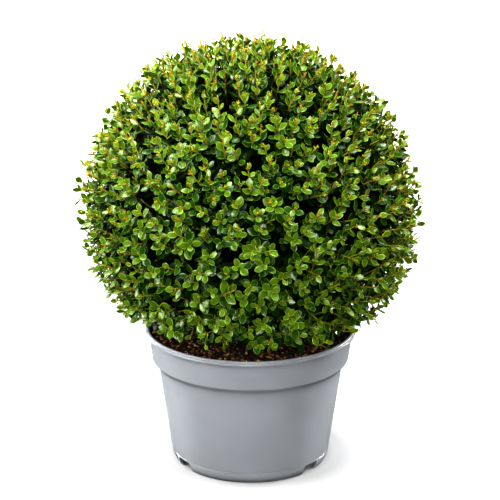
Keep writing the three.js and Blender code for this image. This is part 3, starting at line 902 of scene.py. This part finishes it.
def leaf_mesh(name, rows, *strips):
    points = []
    faces = []
    for across in strips:
        wide = len(across)
        base = len(points)
        points.append((0.0, 0.0, 0.0))
        for u, width in rows:
            half_width = width * LEAF_SLIM / 2
            points += [(u, aside * half_width, rise * half_width - LEAF_ARCH * u ** 2)
                       for aside, rise in across]
        tip = len(points)
        points.append((1.0, 0.0, -LEAF_ARCH))
        for k in range(wide - 1):
            faces.append((base, base + 1 + k, base + 2 + k))
            for a in range(base + 1 + k, tip - wide, wide):
                faces.append((a, a + wide, a + wide + 1, a + 1))
            faces.append((tip - wide + k, tip, tip - wide + k + 1))
    return mesh_from(name, points, faces)


leaf_blade = object_from("leaf_blade", leaf_mesh("leaf_blade", LEAF_ROWS, LEAF_ACROSS))
leaf_margin = object_from("leaf_margin", leaf_mesh("leaf_margin", LEAF_ROWS, LEFT_MARGIN, RIGHT_MARGIN))
plain_blade = object_from("plain_blade", leaf_mesh("plain_blade", LEAF_ROWS, PLAIN_ACROSS))
shade_blade = object_from("shade_blade", leaf_mesh("shade_blade", SHADE_ROWS, SHADE_ACROSS))
print("faces in one leaf", [len(blade.data.polygons) for blade in (leaf_blade, plain_blade, shade_blade)])

# %% [markdown]
# ### Where the leaves sit
# Leaves stand in crossed pairs, each pair a quarter turn from the one below, so a shoot seen from its tip
# shows a cross of four. The top pair is small and half closed; lower pairs are larger and more open.
# On top of the ball the leaves stand more upright and the tips are barer, as the light comes from there.
# Every leaf is worked out here as a place, a turn and a size, in arrays.

# %% Leaf places
PAIRS = (8, 7, 5)
PAIR_SPACING = (4.6, 6.8)
BARE_TIP = (1.4, 4.0)
LEAF_LENGTH = (11.4, 15.6)
OPENINGS = np.radians([38, 50, 59, 64, 68, 72, 76, 79, 82])
PAIR_SIZES = np.array([0.82, 0.96, 1.04, 1.05, 1.02, 0.98, 0.94, 0.92, 0.9])
LONG_TIP = 4.5
SMALL_TOP = 0.08
UPRIGHT_TOP = 0.3
LOST_LEAVES = 0.05
INNER_SPACING = 4.0
INNER_LENGTH = (18.0, 25.0)
INNER_SPAN = (0.15, 0.95)
INNER_OUTWARD = 0.4
INNER_UPWARD = 0.5
BARE_FOOT = 0.08
HEADING_STEP = 0.03
TURN_SWAY = 0.22
OPENING_SWAY = 0.14
SIZE_SPREAD = (0.88, 1.12)

roots, axes, faces_up, sizes, owners = [], [], [], [], []
for i in range(count):
    length = lengths[i] + KNEE_RUN
    twist = rng.uniform(0, 2 * math.pi)
    high = max(directions[i, 2], 0)
    vigour = rng.uniform(*LEAF_LENGTH) * (1 - SMALL_TOP * high)
    distance = rng.uniform(*BARE_TIP) + LONG_TIP * high
    for pair in range(PAIRS[layers[i]]):
        t = 1 - distance / length
        distance += rng.uniform(*PAIR_SPACING) * (1 - SMALL_TOP * high)
        if t < BARE_FOOT:
            break
        root = shoot_points(i, t)
        heading = unit(shoot_points(i, min(t + HEADING_STEP, 1.0)) - shoot_points(i, t - HEADING_STEP))
        side, over = crosswise(heading)
        for half_turn in (0, math.pi):
            turn = twist + half_turn + pair * math.pi / 2 + rng.normal(0, TURN_SWAY)
            opening = OPENINGS[pair] * (1 - UPRIGHT_TOP * high) + rng.normal(0, OPENING_SWAY)
            outward = side * math.cos(turn) + over * math.sin(turn)
            axis = heading * math.cos(opening) + outward * math.sin(opening)
            upper = heading * math.sin(opening) - outward * math.cos(opening)
            size = vigour * PAIR_SIZES[pair] * rng.uniform(*SIZE_SPREAD)
            if rng.random() < LOST_LEAVES or min(root[2], root[2] + axis[2] * size) < LOWEST_LEAF:
                continue
            roots.append(root)
            axes.append(axis)
            faces_up.append(upper)
            sizes.append(size)
            owners.append(i)
outer_leaves = len(roots)
# The leaves along the inner twigs are larger than life and take the darkest green, as painted shade that
# closes the view into the ball.
for path in inner_paths:
    places = max(2, int(np.linalg.norm(path[2] - path[0]) / INNER_SPACING))
    for t in np.linspace(*INNER_SPAN, places):
        root = bend(*path, t)
        radial = unit(root - CENTRE)
        axis = unit(radial * INNER_OUTWARD + rng.normal(0, 1, 3))
        upper = unit(np.cross(axis, np.cross(radial + UP * INNER_UPWARD, axis)))
        roots.append(root)
        axes.append(axis)
        faces_up.append(upper)
        sizes.append(rng.uniform(*INNER_LENGTH))
        owners.append(0)
roots, axes, faces_up = np.array(roots), np.array(axes), np.array(faces_up)
sizes, owners = np.array(sizes), np.array(owners)
inner_leaves = len(roots) - outer_leaves
print("leaves outside", outer_leaves, "inside", inner_leaves, "longest", round(sizes.max(), 1), "mm")


# %% [markdown]
# An instance is turned by three angles. A leaf is known by the way it points and the way its face looks,
# so one helper works the angles out for all leaves at once, and another stores them on a cloud of points.

# %% Turns for instances
LEAF_TILT = 0.2
WIDTH_SPREAD = (0.88, 1.14)


def euler_turns(along_x, along_z):
    along_y = np.cross(along_z, along_x)
    roll = np.arctan2(along_y[:, 2], along_z[:, 2])
    pitch = -np.arcsin(np.clip(along_x[:, 2], -1, 1))
    yaw = np.arctan2(along_x[:, 1], along_x[:, 0])
    return np.stack([roll, pitch, yaw], axis=1)


def spots_mesh(name, places, turns, scales):
    mesh = mesh_from(name, places * MM)
    for label, values in (("turn", turns), ("size", scales * MM)):
        attribute = mesh.attributes.new(label, "FLOAT_VECTOR", "POINT")
        attribute.data.foreach_set("vector", np.ascontiguousarray(values, dtype=np.float32).ravel())
    return mesh


tilt = rng.normal(0, LEAF_TILT, len(axes))[:, None]
across = np.cross(faces_up, axes)
leaf_normals = unit(faces_up + across * tilt)
leaf_turns = euler_turns(axes, leaf_normals)
leaf_scales = np.stack([sizes, sizes * rng.uniform(*WIDTH_SPREAD, len(sizes)), sizes], axis=1)
print("leaf turns", leaf_turns.shape)

# %% [markdown]
# ### Spray tree
# One small tree serves leaves and buds: an instance of the part on every point,
# turned and sized by the point's own attributes, realized and given its finish.

# %% Spray tree
spray, ins = new_tree("sprays", Part="NodeSocketObject", Finish="NodeSocketMaterial")
spots = add(spray, "GeometryNodeMeshToPoints", {"Mesh": ins["Geometry"]})
turn = add(spray, "GeometryNodeInputNamedAttribute", {"Name": "turn"}, data_type="FLOAT_VECTOR")
turned_by = add(spray, "FunctionNodeEulerToRotation", {"Euler": turn.outputs[0]})
scale = add(spray, "GeometryNodeInputNamedAttribute", {"Name": "size"}, data_type="FLOAT_VECTOR")
part = add(spray, "GeometryNodeObjectInfo", {"Object": ins["Part"]})
set_out = add(spray, "GeometryNodeInstanceOnPoints", {
    "Points": spots.outputs[0], "Instance": part.outputs["Geometry"],
    "Rotation": turned_by.outputs[0], "Scale": scale.outputs[0]})
end_tree(spray, set_out.outputs[0], ins["Finish"])
print("spray tree nodes", len(spray.nodes))


def sprayed(name, part, finish, picked, places, turns, scales):
    cloud = spots_mesh(name, places[picked], turns[picked], scales[picked])
    return grown(name, cloud, spray, Part=part, Finish=finish)


# %% [markdown]
# ### Leaf finishes
# A holly leaf has a waxy skin over deep green: a clear highlight on a saturated base.
# Young leaves are yellow-green and grown ones mid green; old ones inside the ball are dull.
# The greens are plain colours, dealt to each spray by its luck and as painted light and shade: the darker
# greens go to leaves deep in the ball as painted shade, the lighter ones to the upper side as painted light,
# with a slight cloudiness within each. The two outer greens have paler margins, a painted highlight on the
# rolled edges, which the eye reads as a crisp edge.

# %% Leaf finishes
LEAF_CLOUD_MM = 9.0
MARGIN_ROUGHNESS = 0.4
MARGIN_SHINE = 0.3
SHADE_DEPTH = 40.0
SUN = np.array([-0.1, -0.15, 0.98])
SUN_SHARE = 0.17
SHOOT_LUCK = 0.32
LEAF_LUCK = 0.12
BAND_ENDS = [0.165, 0.35, 0.52, 0.7]


def waxy_leaf(name, dark, light, roughness, shine):
    material, tree, shader = new_material(name, light, roughness, 1.48)
    shader.inputs["Specular IOR Level"].default_value = shine
    two_tones(tree, shader, noise(tree, LEAF_CLOUD_MM, 2.0), dark, light, (0.3, 0.7))
    return material


# The two darkest greens are painted shade for leaves deep in the ball; the lightest is young growth and
# painted light on the upper side.
GREENS = [
    ("leaves_bright", "holly_leaf_young_painted_light", "#648a10", "#779d1b", 0.25, 1.0, leaf_blade),
    ("leaves_fresh", "holly_leaf_fresh", "#305f07", "#3c6d0a", 0.25, 1.0, leaf_blade),
    ("leaves_mid", "holly_leaf_grown_half_shade", "#183a03", "#214705", 0.26, 0.35, plain_blade),
    ("leaves_deep", "holly_leaf_painted_deep_shade", "#081c02", "#0d2803", 0.36, 0.1, shade_blade),
    ("leaves_shade", "holly_leaf_painted_shade", "#040f01", "#071801", 0.45, 0.05, shade_blade),
]
# Painted highlight: the margins are paler than their blades, for the light that the rolled edges catch.
MARGINS = [
    ("leaf_margins_pale", "holly_leaf_margin_painted_highlight", "#a6c448", "#b8d65c"),
    ("leaf_margins_green", "holly_leaf_margin_green_highlight", "#80a438", "#92b648"),
]
# Painted light and shade: depth sends leaves deep in the ball to darker greens, and sunny sends those on the
# upper side to lighter ones.
shoot_tone = rng.random(count)[owners]
depth = (LEADER_TIP[1] - np.linalg.norm(roots - CENTRE, axis=1)) / SHADE_DEPTH
sunny = unit(roots - CENTRE) @ SUN
tone = SHOOT_LUCK * shoot_tone + LEAF_LUCK * rng.random(len(owners)) + depth - SUN_SHARE * sunny
bands = np.quantile(tone[:outer_leaves], BAND_ENDS)
dealt = np.digitize(tone, bands)
for band, (name, finish_name, dark, light, roughness, shine, blade) in enumerate(GREENS):
    finish = waxy_leaf(finish_name, dark, light, roughness, shine)
    leaves = sprayed(name, blade, finish, dealt == band, roots, leaf_turns, leaf_scales)
    hand_over(leaves, "foliage", *FOLIAGE)
for band, (name, finish_name, dark, light) in enumerate(MARGINS):
    finish = waxy_leaf(finish_name, dark, light, MARGIN_ROUGHNESS, MARGIN_SHINE)
    margins = sprayed(name, leaf_margin, finish, dealt == band, roots, leaf_turns, leaf_scales)
    hand_over(margins, "foliage")
for pattern in (leaf_blade, leaf_margin, plain_blade, shade_blade):
    bpy.data.objects.remove(pattern)

# %% [markdown]
# ### Growing tips
# Above the last pair of leaves each leader ends in a cluster of tiny leaves and buds, yellow to orange,
# and so do half of the shorter shoots. They catch the light all over the ball and fringe its outline.

# %% Bud shape
BUD_SIDES = 4
BUD_ROWS = ((0.28, 0.2), (0.66, 0.22))
BUD_FLATTEN = 0.7


def bud_mesh():
    points = [(0.0, 0.0, 0.0)]
    for u, girth in BUD_ROWS:
        for k in range(BUD_SIDES):
            angle = 2 * math.pi * k / BUD_SIDES
            points.append((u, girth * math.cos(angle), BUD_FLATTEN * girth * math.sin(angle)))
    points.append((1.0, 0.0, 0.0))
    faces = []
    last = len(points) - 1
    low, high = 1, 1 + BUD_SIDES
    for k in range(BUD_SIDES):
        n = (k + 1) % BUD_SIDES
        faces += [(0, low + n, low + k), (low + k, low + n, high + n, high + k), (high + k, high + n, last)]
    return mesh_from("bud", points, faces)


bud = object_from("bud", bud_mesh())
print("faces in one bud", len(bud.data.polygons))

# %% Buds on the tips
BUDS = (4, 7)
LOW_BUDS = (1, 4)
BUD_LENGTH = (2.4, 4.6)
BUD_BACK = (0.2, 6.0)
BUD_LEAN = (0.5, 1.15)
END_BUD_LEAN = (0, 0.2)
BUD_TURN = 2.4
BUD_SWAY = 0.4
BUD_SLANT = np.array([0.31, 0.52, 0.11])
BUD_SINK = 0.6
BUD_GIRTH = 1.15
BARE_SHARE = 0.45
LOW_LINE = 0.1
LOW_TINT = 0.8
YELLOW_SHARE = 0.58

bud_places, bud_axes, bud_sizes, bud_tint = [], [], [], []
for i in np.flatnonzero(layers < 2):
    if layers[i] == 1 and rng.random() < BARE_SHARE:
        continue
    heading = headings[i]
    side, over = crosswise(heading)
    low = directions[i, 2] < LOW_LINE
    tint = rng.random() * (LOW_TINT if low else 1.0)
    for k in range(rng.integers(*(LOW_BUDS if low else BUDS))):
        back = 0.0 if k == 0 else rng.uniform(*BUD_BACK)
        lean = rng.uniform(*(END_BUD_LEAN if k == 0 else BUD_LEAN))
        turn = k * BUD_TURN + rng.uniform(-BUD_SWAY, BUD_SWAY)
        outward = side * math.cos(turn) + over * math.sin(turn)
        bud_places.append(tips[i] - heading * (back + BUD_SINK))
        bud_axes.append(heading * math.cos(lean) + outward * math.sin(lean))
        bud_sizes.append(rng.uniform(*BUD_LENGTH))
        bud_tint.append(tint + rng.normal(0, 0.12))
bud_places, bud_axes = np.array(bud_places), np.array(bud_axes)
bud_sizes, bud_tint = np.array(bud_sizes), np.array(bud_tint)
bud_over = unit(np.cross(bud_axes, BUD_SLANT))
bud_turns = euler_turns(bud_axes, bud_over)
bud_scales = np.stack([bud_sizes, bud_sizes * BUD_GIRTH, bud_sizes * BUD_GIRTH], axis=1)
tip_yellow = bark_like("growing_tip_yellow", "#d2be1c", "#eada3c", TWIG_FURROW_MM, 0.45)
tip_orange = bark_like("growing_tip_orange", "#cc9a20", "#e6ba3c", TWIG_FURROW_MM, 0.45)
for name, finish, picked in (("tips_yellow", tip_yellow, bud_tint < YELLOW_SHARE),
                             ("tips_orange", tip_orange, bud_tint >= YELLOW_SHARE)):
    buds = sprayed(name, bud, finish, picked, bud_places, bud_turns, bud_scales)
    hand_over(buds, "foliage")
bpy.data.objects.remove(bud)
